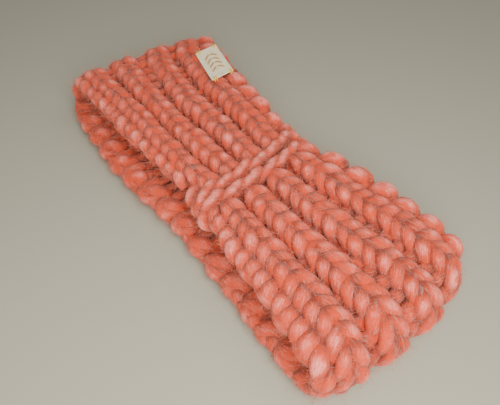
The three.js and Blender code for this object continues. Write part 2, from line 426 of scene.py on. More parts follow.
@dataclass
class BandLie:
    """Lays the flat knitted strip as the loop: distance round it, share across it, height."""

    band_length: float = 252.0
    band_width: float = 111.5
    knit_thickness: float = 12.5
    inner_gap: float = 6.5
    rib_pitch: float = 0.42
    seam_offset: float = 12.0
    seam_slant: float = 5.1
    seam_bow: float = 4.4
    squeeze_reach: float = 0.16
    plain_corners: tuple[float, float] = (5.6, 9.0)
    labelled_corners: tuple[float, float] = (2.5, 5.9)
    rows: tuple[LieRow, ...] = LIE

    def __post_init__(self) -> None:
        """Works out the loop's path and the slopes of the curves through the table."""
        self.half_width = self.band_width / 2
        self.half_knit = self.knit_thickness / 2
        self.turn_radius = (self.knit_thickness + self.inner_gap) / 2
        self.turn_x = self.band_length / 2 - self.turn_radius - self.half_knit
        self.turn_height = self.half_knit + self.turn_radius
        self.top_end = self.turn_x - self.seam_offset
        self.bottom_start = self.top_end + math.pi * self.turn_radius
        self.bottom_end = self.bottom_start + 2 * self.turn_x
        self.top_start = self.bottom_end + math.pi * self.turn_radius
        self.loop_length = self.top_start + self.turn_x + self.seam_offset
        table = np.array([(r.at, r.left, *r.crests, r.right, r.lift) for r in self.rows])
        self._at, self._lain = table[:, 0], table[:, 1:]
        steps = np.diff(self._lain, axis=0)
        before, after = steps[:-1], steps[1:]
        mean = (before + after) / (self._at[2:] - self._at[:-2])[:, None]
        self._slopes = np.zeros_like(self._lain)
        self._slopes[1:-1] = np.where(before * after > 0, mean, 0.0)
        pitch = self.rib_pitch
        self._flat = np.array([-1, -1.5 * pitch, -0.5 * pitch, 0.5 * pitch, 1.5 * pitch, 1])

    def columns(self, distance: np.ndarray) -> np.ndarray:
        """Reads the table on its smooth curves.

        Args:
            distance: Distances round the loop.

        Returns:
            One row each: left edge, four crests, right edge and lift.
        """
        share = np.mod(distance, self.loop_length) / self.loop_length
        i = np.clip(np.searchsorted(self._at, share) - 1, 0, len(self._at) - 2)
        span = self._at[i + 1] - self._at[i]
        t = ((share - self._at[i]) / span)[:, None]
        rise = self._lain[i + 1] - self._lain[i]
        a = self._slopes[i] * span[:, None]
        b = self._slopes[i + 1] * span[:, None]
        return self._lain[i] + t * (a + t * (3 * rise - 2 * a - b + t * (a + b - 2 * rise)))

    def across_at(self, distance: np.ndarray, across: np.ndarray) -> np.ndarray:
        """Finds where points across the flat strip lie along Y.

        Args:
            distance: Distances round the loop.
            across: Shares across the strip, from -1 to 1.

        Returns:
            Places along Y, in millimetres.
        """
        lain = self.columns(distance)
        i = np.clip(np.searchsorted(self._flat, across) - 1, 0, 4)
        k = np.arange(len(across))
        t = (across - self._flat[i]) / (self._flat[i + 1] - self._flat[i])
        return self.half_width * (lain[k, i] + t * (lain[k, i + 1] - lain[k, i]))

    def squeeze(self, distance: np.ndarray, across: np.ndarray) -> np.ndarray:
        """Tells how much narrower the strip lies here than flat.

        Args:
            distance: Distances round the loop.
            across: Shares across the strip, from -1 to 1.

        Returns:
            Shares of the flat width, 1 where the strip isn't drawn in.
        """
        reach = self.squeeze_reach
        wide = self.across_at(distance, across + reach) - self.across_at(distance, across - reach)
        return wide / (2 * reach * self.half_width)

    def path(self, distance: np.ndarray) -> tuple[np.ndarray, ...]:
        """Follows the middle of the knit round the loop.

        Args:
            distance: Distances round the loop.

        Returns:
            X, Z and the outward normal's X and Z, each an array.
        """
        d = np.mod(distance, self.loop_length)
        near = (d - self.top_end) / self.turn_radius
        far = (d - self.bottom_end) / self.turn_radius
        parts = [d < self.top_end, d < self.bottom_start, d < self.bottom_end, d < self.top_start]
        nx = np.select(parts, [0 * d, np.sin(near), 0 * d, -np.sin(far)], 0.0)
        nz = np.select(parts, [0 * d + 1, np.cos(near), 0 * d - 1, -np.cos(far)], 1.0)
        x = np.select(
            parts,
            [
                self.seam_offset + d,
                self.turn_x + self.turn_radius * nx,
                self.turn_x - (d - self.bottom_start),
                -self.turn_x + self.turn_radius * nx,
            ],
            d - self.top_start - self.turn_x,
        )
        z = self.turn_height + self.turn_radius * nz
        return x, z, nx, nz

    def place(self, distance: np.ndarray, across: np.ndarray, height: np.ndarray) -> np.ndarray:
        """Lays points of the flat strip.

        Args:
            distance: Distances round the loop.
            across: Shares across the strip, from -1 to 1.
            height: Heights off the middle of the knit, outwards.

        Returns:
            Points in millimetres.
        """
        d = np.mod(distance, self.loop_length)
        x, z, nx, nz = self.path(d)
        pull = np.where(
            d < self.top_end,
            1 - d / self.top_end,
            np.where(
                d > self.top_start, (d - self.top_start) / (self.loop_length - self.top_start), 0
            ),
        )
        t = np.clip((np.abs(x) - self.turn_x / 2) / (self.turn_x / 2), 0, 1)
        reach = t * t * (3 - 2 * t)
        left, right = np.where(
            x[:, None] > 0, np.array(self.plain_corners), np.array(self.labelled_corners)
        ).T
        corner = np.sign(x) * reach * across**2 * np.where(across > 0, right, left)
        slant = (self.seam_slant * across + self.seam_bow * across**2) * pull
        lift = self.columns(d)[:, 6] * self.knit_thickness
        return np.stack(
            [x + nx * height - slant - corner, self.across_at(d, across), z + nz * height + lift],
            axis=1,
        )

    def outward(self, distance: np.ndarray) -> np.ndarray:
        """Gives the outward normals of the middle of the knit."""
        _, _, nx, nz = self.path(distance)
        return np.stack([nx, np.zeros_like(nx), nz], axis=1)


def smooth_line(points: np.ndarray, per_span: int) -> np.ndarray:
    """Draws a smooth curve through points, each a row of any numbers.

    Args:
        points: The control points.
        per_span: Samples from one point to the next.

    Returns:
        The samples, the last point among them.
    """
    ends = np.vstack([2 * points[0] - points[1], points, 2 * points[-1] - points[-2]])
    a, b, c, d = ends[:-3], ends[1:-2], ends[2:-1], ends[3:]
    t = (np.arange(per_span) / per_span)[None, :, None]
    a, b, c, d = a[:, None], b[:, None], c[:, None], d[:, None]
    curve = b + 0.5 * t * (c - a + t * (2 * a - 5 * b + 4 * c - d + t * (3 * (b - c) + d - a)))
    return np.vstack([curve.reshape(-1, points.shape[1]), points[-1]])


def unit(vectors: np.ndarray) -> np.ndarray:
    """Scales vectors along the last axis to a length of one."""
    return vectors / np.maximum(np.linalg.norm(vectors, axis=-1, keepdims=True), 1e-9)


def ring_faces(rings: int, sides: int) -> list[tuple[int, ...]]:
    """Joins each ring of corners to the next one.

    Args:
        rings: How many rings there are.
        sides: Corners in each ring.

    Returns:
        Corner numbers of each face, without the two ends.
    """
    faces = []
    for low in range(0, (rings - 1) * sides, sides):
        high = low + sides
        for j in range(sides):
            k = (j + 1) % sides
            faces.append((low + j, high + j, high + k, low + k))
    return faces


@dataclass
class Solid:
    """The corners and faces of a piece, with how its fibres lie and how sheltered it is."""

    corners: list[np.ndarray] = field(default_factory=list)
    fibres: list[np.ndarray] = field(default_factory=list)
    normals: list[np.ndarray] = field(default_factory=list)
    dips: list[np.ndarray] = field(default_factory=list)
    faces: list[tuple] = field(default_factory=list)
    grids: list[tuple[int, int]] = field(default_factory=list)
    count: int = 0

    def add(
        self, corners: np.ndarray, fibres: np.ndarray, normals: np.ndarray, faces: list,
        grid: tuple[int, int], dips: np.ndarray | None = None,
    ) -> None:
        """Adds a part of the piece.

        Args:
            corners: Its corners, as a grid of rings.
            fibres: The place of each corner along and round its fibres.
            normals: The outward direction at each corner.
            faces: Corner numbers of each face, counted from the part's first corner.
            grid: How many rings there are, and corners in each.
            dips: How much each corner is shaded by its neighbours, from 0 to 1.
        """
        self.corners.append(corners)
        self.fibres.append(fibres)
        self.normals.append(normals)
        self.dips.append(np.zeros(len(corners)) if dips is None else dips)
        self.faces.extend(tuple(i + self.count for i in face) for face in faces)
        self.grids.append(grid)
        self.count += len(corners)

    def add_tube(
        self, centres: np.ndarray, radii: np.ndarray, up: np.ndarray, sides: int,
        flatness: float = 0.92, twist: float = 38.0, streak: float = 7.0,
        dips: np.ndarray | None = None,
    ) -> None:
        """Adds a closed tube of yarn.

        Args:
            centres: Its middle line.
            radii: Its radius at each of them.
            up: The direction that its flatter side faces, one for all or one for each.
            sides: Faces round it.
            flatness: Its thickness along up, as a share of its width.
            twist: The length of one turn of the fibres.
            streak: How many times longer than wide a streak of fibres is.
            dips: How much of each ring its neighbours shade, from 0 to 1.
        """
        along = unit(np.gradient(centres, axis=0))
        rise = unit(up - np.sum(up * along, axis=1, keepdims=True) * along)
        wide = np.cross(along, rise)
        run = np.concatenate([[0], np.cumsum(np.linalg.norm(np.diff(centres, axis=0), axis=1))])
        turned = 2 * np.pi * np.arange(sides) / sides
        cos, sin = np.cos(turned)[None, :, None], np.sin(turned)[None, :, None]
        r = radii[:, None, None]
        spread = wide[:, None] * cos * r / flatness**0.5 + rise[:, None] * sin * r * flatness**0.5
        facing = unit(wide[:, None] * cos * flatness + rise[:, None] * sin)
        fibre_turn = turned[None, :] + 2 * np.pi * run[:, None] / twist
        lay = np.stack(
            [
                radii[:, None] * np.cos(fibre_turn),
                radii[:, None] * np.sin(fibre_turn),
                np.repeat(run[:, None] / streak, sides, axis=1),
            ],
            axis=2,
        ) + 60.0 * len(self.grids)
        n = len(centres)
        faces = ring_faces(n, sides)
        faces.append(tuple(range(sides)))
        faces.append(tuple(reversed(range((n - 1) * sides, n * sides))))
        self.add(
            (centres[:, None] + spread).reshape(-1, 3), lay.reshape(-1, 3),
            facing.reshape(-1, 3), faces, (n, sides),
            None if dips is None else np.repeat(dips, sides),
        )

    def all_corners(self) -> np.ndarray:
        """Gives every corner, in millimetres."""
        return np.vstack(self.corners)

    def set_corners(self, corners: np.ndarray) -> None:
        """Puts changed corners back, in the order that all_corners gives."""
        sizes = np.cumsum([len(c) for c in self.corners])[:-1]
        self.corners = list(np.split(corners, sizes))

    def make(
        self, name: str, material: bpy.types.Material, shelter: np.ndarray | None
    ) -> bpy.types.Object:
        """Makes the object, in metres.

        Args:
            name: The piece's name.
            material: Its finish.
            shelter: How closed in each corner is, from 0 to 1.

        Returns:
            The new object, riding on the root body.
        """
        mesh = bpy.data.meshes.new(name)
        mesh.from_pydata((self.all_corners() * MM).tolist(), [], self.faces)
        mesh.shade_smooth()
        lay = mesh.attributes.new("fibre", "FLOAT_VECTOR", "POINT")
        lay.data.foreach_set("vector", np.vstack(self.fibres).astype(np.float32).ravel())
        # the shelter value darkens the wool's colour as painted shade
        deep = mesh.attributes.new("shelter", "FLOAT", "POINT")
        values = np.zeros(self.count) if shelter is None else shelter
        deep.data.foreach_set("value", values.astype(np.float32))
        mesh.materials.append(material)
        made = bpy.data.objects.new(name, mesh)
        bpy.context.scene.collection.objects.link(made)
        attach(made, "root")
        return made


# its result is painted into the wool's colour as shade in folds and crevices
@dataclass
class Shelter:
    """Measures how closed in each point of the wool is, by looking out from it.

    Reach is how far a look goes and cell how wide the average over nearby yarn is, both in
    millimetres. Spread is that average's share, and dip_share what a full dip adds. Looks start
    start_off above the surface, and a stop at full reach counts far_fade less than a near one.
    """

    solids: list[Solid]
    reach: float = 14.0
    looks: int = 9
    quick_looks: int = 4
    start_off: float = 0.25
    far_fade: float = 0.55
    cell: float = 2.2
    spread: float = 0.68
    dip_share: float = 0.46

    def measure(self) -> list[np.ndarray]:
        """Looks out from every corner in a few directions.

        Returns:
            For each solid, a share from 0, open, to 1, closed in.
        """
        points, faces, start = [], [], 0
        for solid in self.solids:
            points.append(solid.all_corners())
            faces.extend(tuple(i + start for i in face) for face in solid.faces)
            start += solid.count
        tree = BVHTree.FromPolygons(np.vstack(points).tolist(), faces)
        looks = self.looks
        turns = np.arange(looks) * GOLDEN_ANGLE
        tilt = np.sqrt((np.arange(looks) + 0.5) / looks)
        found = []
        for number, solid in enumerate(self.solids):
            spin = np.random.default_rng(SEED + number).random(solid.count) * 2 * np.pi
            corners, normals = solid.all_corners(), np.vstack(solid.normals)
            side = unit(np.cross(normals, [0.31, 0.83, 0.46]))
            other = np.cross(normals, side)
            starts = (corners + normals * self.start_off).tolist()
            closed = np.zeros(solid.count)
            for turn, lean in zip(turns, tilt):
                flat = np.cos(spin + turn)[:, None] * side + np.sin(spin + turn)[:, None] * other
                ways = (flat * lean + normals * math.sqrt(1 - lean**2 * 0.96)).tolist()
                for i in range(solid.count):
                    hit = tree.ray_cast(starts[i], ways[i], self.reach)
                    if hit[0] is not None:
                        closed[i] += 1 - self.far_fade * hit[3] / self.reach
            found.append(self._smooth(solid, closed / looks))
        near = self._spread(found)
        return [
            (1 - self.spread) * own + self.spread * wide + self.dip_share * np.hstack(solid.dips)
            for own, wide, solid in zip(found, near, self.solids)
        ]

    def _spread(self, found: list[np.ndarray]) -> list[np.ndarray]:
        """Averages the shelter over all the yarn nearby, the open places above all.

        Args:
            found: The shelter of each solid's corners.

        Returns:
            The averages, in the same order.
        """
        corners = np.vstack([s.all_corners() for s in self.solids])
        values = np.concatenate(found)
        low = corners.min(0) - self.cell
        size = np.ceil((corners.max(0) - low) / self.cell).astype(int) + 2
        base = np.floor((corners - low) / self.cell).astype(int)
        part = (corners - low) / self.cell - base
        trust = np.clip(1.05 - values, 0.05, 1.0)
        sums, weights = np.zeros(size.prod()), np.full(size.prod(), 1e-6)
        steps = [(i, j, k) for i in (0, 1) for j in (0, 1) for k in (0, 1)]
        cells = [np.ravel_multi_index(tuple((base + step).T), tuple(size)) for step in steps]
        shares = [np.prod(np.where(np.array(step), part, 1 - part), axis=1) for step in steps]
        for cell, share in zip(cells, shares):
            sums += np.bincount(cell, share * trust * values, len(sums))
            weights += np.bincount(cell, share * trust, len(sums))
        mean = sums / weights
        smooth = sum(share * mean[cell] for cell, share in zip(cells, shares))
        return list(np.split(smooth, np.cumsum([len(f) for f in found])[:-1]))

    def _smooth(self, solid: Solid, closed: np.ndarray) -> np.ndarray:
        """Evens out the few looks over neighbouring corners of each tube.

        Args:
            solid: The solid that was looked out from.
            closed: The share of looks that were stopped, by corner.

        Returns:
            The same shares, evened out.
        """
        start = 0
        for rings, sides in solid.grids:
            part = closed[start : start + rings * sides].reshape(rings, sides)
            for _ in range(2):
                part = 0.5 * part + 0.25 * (np.roll(part, 1, 1) + np.roll(part, -1, 1))
                ends = np.vstack([part[:1], part, part[-1:]])
                part = 0.5 * part + 0.25 * (ends[:-2] + ends[2:])
            closed[start : start + rings * sides] = part.ravel()
            start += rings * sides
        return closed


@dataclass(frozen=True)
class StitchPoint:
    """A point on the left half of a stitch: across in rib pitches from the column's middle,
    along in rows, height in half thicknesses, girth as a share of the yarn's radius, and dip,
    how much of it the stitch before it shades."""

    across: float
    along: float
    height: float
    girth: float
    dip: float


OUTER_STITCH = (
    StitchPoint(-0.25, -0.34, -0.5, 0.8, 0.4),
    StitchPoint(-0.13, -0.4, -0.24, 0.8, 1.0),
    StitchPoint(-0.04, -0.2, 0.24, 0.88, 1.0),
    StitchPoint(-0.1, 0.18, 0.5, 0.96, 0.75),
    StitchPoint(-0.185, 0.56, 0.54, 1.02, 0.2),
    StitchPoint(-0.25, 0.98, 0.34, 1.04, 0.0),
    StitchPoint(-0.28, 1.42, -0.12, 0.96, 0.7),
    StitchPoint(-0.2, 1.64, -0.46, 0.76, 0.3),
    StitchPoint(0.0, 1.6, -0.5, 0.7, 0.6),
)
INNER_STITCH = (
    StitchPoint(-0.25, -0.34, -0.5, 0.8, 0.7),
    StitchPoint(-0.1, -0.2, -0.46, 0.82, 0.8),
    StitchPoint(-0.13, 0.3, -0.54, 1.02, 0.6),
    StitchPoint(-0.24, 0.75, -0.48, 1.02, 0.7),
    StitchPoint(-0.24, 1.12, -0.3, 0.86, 0.8),
    StitchPoint(-0.13, 1.3, -0.2, 0.84, 0.6),
    StitchPoint(0.0, 1.36, -0.16, 0.9, 0.4),
)


@dataclass(frozen=True)
class TurnPoint:
    """A point of the yarn's turn at an edge: out in millimetres past the last stitch, along in
    rows, height in half thicknesses, and girth as a share of the yarn's radius."""

    out: float
    along: float
    height: float
    girth: float


EDGE_TURN = (
    TurnPoint(3.0, -0.3, -0.32, 1.0),
    TurnPoint(6.4, -0.3, -0.2, 1.1),
    TurnPoint(9.0, -0.24, -0.08, 1.16),
    TurnPoint(10.2, 0.02, 0.0, 1.2),
    TurnPoint(10.2, 0.38, -0.02, 1.2),
    TurnPoint(9.0, 0.64, -0.1, 1.16),
    TurnPoint(6.4, 0.7, -0.22, 1.1),
    TurnPoint(3.0, 0.7, -0.34, 1.0),
)
EDGE_BEAD = (
    TurnPoint(2.6, -0.9, -0.4, 0.7),
    TurnPoint(5.6, -0.5, 0.04, 1.05),
    TurnPoint(8.4, -0.05, 0.3, 1.3),
    TurnPoint(10.2, 0.5, 0.12, 1.3),
    TurnPoint(9.4, 0.98, -0.4, 0.9),
)
EDGE_ROPE = (
    TurnPoint(3.0, -0.62, -0.3, 0.75),
    TurnPoint(5.8, -0.3, 0.12, 1.0),
    TurnPoint(8.4, 0.1, 0.28, 1.14),
    TurnPoint(9.9, 0.55, 0.02, 1.1),
    TurnPoint(9.4, 0.95, -0.4, 0.8),
)
EDGE_BACK = (
    TurnPoint(1.4, -0.6, -0.2, 0.75),
    TurnPoint(4.0, -0.3, -0.4, 1.05),
    TurnPoint(7.0, 0.18, -0.42, 1.16),
    TurnPoint(9.7, 0.64, -0.16, 1.05),
    TurnPoint(10.0, 0.9, 0.1, 0.8),
)


@dataclass
class KnitStrip:
    """The ribbed strip: knit columns on its outer face, purl columns between them, and a bead
    at each edge where the yarn turns from one row to the next.

    Loose is how far the yarn strays: across, along and in height, then in radius and dip.
    """

    lie: BandLie
    seam_width: float = 15.0
    seam_clearance: float = 0.3
    stitch_pitch: float = 7.6
    yarn_radius: float = 3.5
    sides: int = 12
    per_span: int = 3
    pieces: int = 4
    loose: tuple[float, ...] = (1.0, 1.0, 0.7, 0.4, 0.0)
    thinnest_widest: tuple[float, float] = (0.5, 1.05)
    dip_range: tuple[float, float] = (0.4, 1.6)
    turn_dips: tuple[float, float] = (0.1, 0.1)
    edge_dips: tuple[float, float] = (0.0, 0.7)
    head_from: float = 1.2
    stitch_middle: float = 0.6
    rib_narrowing: float = 0.13
    bump_rise: float = 0.34
    flatness: float = 0.76
    edge_ribs: float = 1.75
    first_row_shift: float = 0.12
    gape: tuple[float, float] = (0.84, 1.0)
    ground_edge: float = 0.86
    ground_rounding: float = 0.06
    ground_least: float = 0.15
    ground_middle: tuple[float, float] = (0.2, -1.6)
    ground_wave: float = 1.5
    ground_columns: int = 37
    ground_rows: float = 1.5
    ground_overlap: float = 2.0
    ground_lay: float = 0.4

    def __post_init__(self) -> None:
        """Counts the rows between the two sides of the seam."""
        self.start = self.seam_width / 2 + self.seam_clearance
        length = self.lie.loop_length - 2 * self.start
        self.row_count = 2 * round(length / (2 * self.stitch_pitch))
        self.step = length / self.row_count
        self.columns = tuple(
            (k * self.lie.rib_pitch / 2, Face.OUTER if k % 2 else Face.INNER) for k in range(-3, 4)
        )
        self.edge = self.edge_ribs * self.lie.rib_pitch * self.lie.half_width
        self.rng = np.random.default_rng(SEED)

    def row(self, number: int) -> np.ndarray:
        """Lists one row's points from its left end to its right end.

        Args:
            number: The row, counted from the seam.

        Returns:
            Rows of place across, distance, height and radius, in millimetres, and dip.
        """
        half = self.lie.half_width
        pitch = self.lie.rib_pitch * half
        points = []
        for centre, face in self.columns:
            wide = self.openness(number, centre)
            stitch = OUTER_STITCH if face is Face.OUTER else INNER_STITCH
            narrower = 1 - (self.rib_narrowing * wide if face is Face.OUTER else 0)
            turned = [(p, 1) for p in stitch] + [(p, -1) for p in reversed(stitch[:-1])]
            for p, sign in turned[(1 if points else 0) :]:
                is_head = face is Face.INNER and p.along > self.head_from
                head = self.bump_rise * wide if is_head else 0
                points.append(
                    (
                        centre * half + sign * p.across * pitch * narrower,
                        self.distance(number, p.along),
                        (p.height + head) * self.lie.half_knit,
                        p.girth * self.yarn_radius,
                        p.dip * self.rng.uniform(*self.dip_range),
                    )
                )
        return np.array(points)

    def distance(self, number: int, along: float) -> float:
        """Turns a row's number and a place along it, in rows, to a distance round the loop."""
        return self.start + (number + self.first_row_shift + along) * self.step

    def openness(self, number: int, centre: float) -> float:
        """Tells how far the furrows gape at a row.

        Args:
            number: The row, counted from the seam.
            centre: The middle of a column, as a share across the strip.

        Returns:
            From 0 where the strip is drawn in to 1 where it lies wide.
        """
        distance = self.start + (number + self.stitch_middle) * self.step
        squeeze = self.lie.squeeze(np.array([distance]), np.array([centre]))[0]
        shut, wide = self.gape
        return float(np.clip((squeeze - shut) / (wide - shut), 0, 1))

    def edge_points(
        self, points: tuple[TurnPoint, ...], number: int, side: Side, dips: tuple[float, float]
    ) -> np.ndarray:
        """Lists the points of a turn or stitch at one edge.

        Args:
            points: Its points in the flat strip.
            number: The row that it starts from.
            side: The edge.
            dips: The dip where the yarn is full and where it is thin.

        Returns:
            Rows of place across, distance, height and radius, in millimetres, and dip.
        """
        return np.array(
            [
                (
                    side.value * (self.edge + p.out),
                    self.distance(number, p.along),
                    p.height * self.lie.half_knit,
                    p.girth * self.yarn_radius,
                    dips[0] if p.girth > 1 else dips[1],
                )
                for p in points
            ]
        )

    def yarn(self, first: int, last: int) -> np.ndarray:
        """Follows the yarn to and fro over some rows, and into the next row.

        Args:
            first: The first row.
            last: The row after the last one.

        Returns:
            The points of its middle line, in the flat strip.
        """
        parts = []
        for number in range(first, last):
            forward = number % 2 == 0
            row = self.row(number)
            parts.append(row if forward else row[::-1])
            if number < self.row_count - 1:
                side = Side.RIGHT if forward else Side.LEFT
                parts.append(self.edge_points(EDGE_TURN, number, side, self.turn_dips))
        return self.loosen(np.vstack(parts))

    def loosen(self, points: np.ndarray) -> np.ndarray:
        """Moves the yarn a little from its even path, as a hand's tension does.

        Args:
            points: The points of its middle line, in the flat strip.

        Returns:
            The moved points.
        """
        drift = self.rng.normal(size=points.shape)
        for _ in range(2):
            ends = np.vstack([drift[:1], drift, drift[-1:]])
            drift = 0.4 * drift + 0.3 * (ends[:-2] + ends[2:])
        return points + drift * np.array(self.loose)

    def solid(self, first: int, last: int) -> Solid:
        """Sweeps the yarn of some rows round its path.

        Args:
            first: The first row.
            last: The row after the last one.

        Returns:
            The yarn, with the stitches at its edges.
        """
        made = Solid()
        self.sweep(made, smooth_line(self.yarn(first, last), self.per_span))
        self.edge_stitches(made, first, last)
        return made

    def sweep(self, made: Solid, line: np.ndarray) -> None:
        """Adds one run of yarn, thinner where the strip is drawn in.

        Args:
            made: The solid that it goes into.
            line: Its middle line, in the flat strip.
        """
        across, distance = line[:, 0] / self.lie.half_width, line[:, 1]
        centres = self.lie.place(distance, across, line[:, 2])
        drawn_in = np.clip(self.lie.squeeze(distance, across), *self.thinnest_widest) ** 0.5
        made.add_tube(
            centres, line[:, 3] * drawn_in, self.lie.outward(distance), self.sides,
            self.flatness, dips=line[:, 4],
        )

    def edge_stitches(self, made: Solid, first: int, last: int) -> None:
        """Adds the stitches that lie over the turns of the yarn: beads at the right edge, and a
        rope of closer ones at the left edge.

        Args:
            made: The solid that they go into.
            first: The first row.
            last: The row after the last one.
        """
        for number in range(first, min(last, self.row_count - 1)):
            side = Side.RIGHT if number % 2 == 0 else Side.LEFT
            stitches = [(EDGE_BACK, side), (EDGE_ROPE, Side.LEFT)]
            if side is Side.RIGHT:
                stitches.append((EDGE_BEAD, side))
            for stitch, edge in stitches:
                points = self.edge_points(stitch, number, edge, self.edge_dips)
                self.sweep(made, smooth_line(self.loosen(points), self.per_span))

    def ground(self) -> Solid:
        """Builds the felted inside of the fabric, which closes the gaps between the rows.

        Returns:
            One closed, waved layer.
        """
        edge = self.ground_edge
        across = np.linspace(-edge, edge, self.ground_columns)
        wave = self.ground_wave * np.cos(2 * np.pi * (across / self.lie.rib_pitch - 0.5))
        outer, inner = (height + wave for height in self.ground_middle)
        taper = np.clip((edge - np.abs(across)) / self.ground_rounding, 0, 1) ** 0.5
        taper = np.maximum(taper, self.ground_least)
        middle = (outer + inner) / 2
        outer = middle + (outer - middle) * taper
        inner = middle + (inner - middle) * taper
        ring_across = np.concatenate([across, across[::-1]])
        ring_height = np.concatenate([outer, inner[::-1]])
        rows = round(self.ground_rows * self.row_count)
        begin = self.start - self.ground_overlap
        distances = np.linspace(begin, self.lie.loop_length - begin, rows)
        sides = len(ring_across)
        corners = np.vstack(
            [self.lie.place(np.full(sides, d), ring_across, ring_height) for d in distances]
        )
        up = np.vstack([self.lie.outward(np.full(sides, d)) for d in distances])
        facing = up * np.tile(np.sign(ring_height - middle.mean()), rows)[:, None]
        faces = ring_faces(rows, sides)
        half = len(across)
        for base, flip in ((0, False), ((rows - 1) * sides, True)):
            for j in range(half - 1):
                quad = (base + j, base + j + 1, base + sides - 2 - j, base + sides - 1 - j)
                faces.append(quad[::-1] if flip else quad)
        made = Solid()
        # felted fibres lie every way, in streaks wider than the yarn's
        made.add(corners, corners * self.ground_lay, facing, faces, (rows, sides))
        return made

    def solids(self) -> dict[str, Solid]:
        """Builds the strip in runs of rows.

        Returns:
            The solids by name, in the order of the loop.
        """
        names = ("knit_plain_half", "knit_under_plain", "knit_under_labelled", "knit_labelled_half")
        bounds = [round(k * self.row_count / self.pieces) for k in range(self.pieces + 1)]
        return {
            name: self.solid(first, last) for name, first, last in zip(names, bounds, bounds[1:])
        }


@dataclass(frozen=True)
class SeamStrand:
    """One strand of the seam from above: from its back end to its front end, in millimetres."""

    from_x: float
    from_y: float
    to_x: float
    to_y: float
    girth: float = 1.0


BACK_ROW = (
    SeamStrand(-1.0, 32.0, 3.4, 24.6),
    SeamStrand(1.6, 23.0, 7.6, 12.8),
    SeamStrand(4.8, 12.2, 10.0, 0.2),
    SeamStrand(4.4, 1.4, 10.4, -11.6),
    SeamStrand(7.6, -12.6, 11.6, -23.6, 0.94),
    SeamStrand(5.4, -23.6, 13.6, -34.4),
)
FRONT_ROW = (
    SeamStrand(8.8, 30.8, 13.4, 23.6),
    SeamStrand(10.4, 25.0, 16.8, 12.4),
    SeamStrand(11.6, 14.8, 18.2, 2.4),
    SeamStrand(12.6, 2.0, 18.4, -10.6),
    SeamStrand(14.2, -11.4, 19.0, -22.8),
    SeamStrand(13.2, -24.4, 18.4, -34.0),
)


@dataclass(frozen=True)
class StrandStop:
    """A point of a strand's middle line: share of its length, sway to one side and drop below its
    top in millimetres, and girth as a share of its radius."""

    at: float
    sway: float
    drop: float
    girth: float


STRAND_STOPS = (
    StrandStop(-0.22, 1.6, -8.0, 0.6),
    StrandStop(-0.24, 1.5, -4.6, 0.8),
    StrandStop(-0.02, 0.9, -1.1, 1.02),
    StrandStop(0.28, 0.2, 0.0, 1.12),
    StrandStop(0.5, 0.0, -0.2, 1.04),
    StrandStop(0.74, -0.2, 0.0, 1.12),
    StrandStop(1.02, -0.9, -1.2, 1.02),
    StrandStop(1.24, -1.5, -4.6, 0.8),
    StrandStop(1.22, -1.6, -8.0, 0.6),
)
# The loops at the seam's two ends, as points of their middle lines in millimetres
END_LOOPS = (
    ((-12.0, 31.0, 20.0), (-9.5, 36.2, 24.0), (-4.5, 37.0, 25.0), (-1.5, 31.5, 22.0)),
    ((-3.5, 30.0, 22.0), (-1.0, 35.2, 25.6), (3.6, 35.8, 25.2), (5.6, 30.0, 22.0)),
    ((5.0, 31.0, 21.5), (7.0, 36.6, 24.4), (11.4, 37.8, 24.0), (13.6, 32.4, 20.5)),
    ((7.5, -25.0, 24.0), (2.8, -31.5, 24.6), (6.5, -36.6, 22.5), (12.0, -33.0, 21.0)),
    ((15.0, -26.0, 24.5), (10.4, -33.0, 25.2), (14.4, -38.2, 22.8), (20.0, -34.0, 21.0)),
    ((21.0, -28.0, 23.0), (18.4, -34.6, 24.6), (22.4, -39.4, 22.4), (27.0, -35.0, 20.5)),
)


@dataclass(frozen=True)
class CoreYarn:
    """A yarn inside the seam, across the strip, with all its sizes in millimetres."""

    along: float
    height: float
    radius: float


CORE_YARNS = (
    CoreYarn(-4.2, 0.4, 3.4),
    CoreYarn(4.2, 0.4, 3.4),
    CoreYarn(-3.8, -2.4, 3.0),
    CoreYarn(3.8, -2.4, 3.0),
)


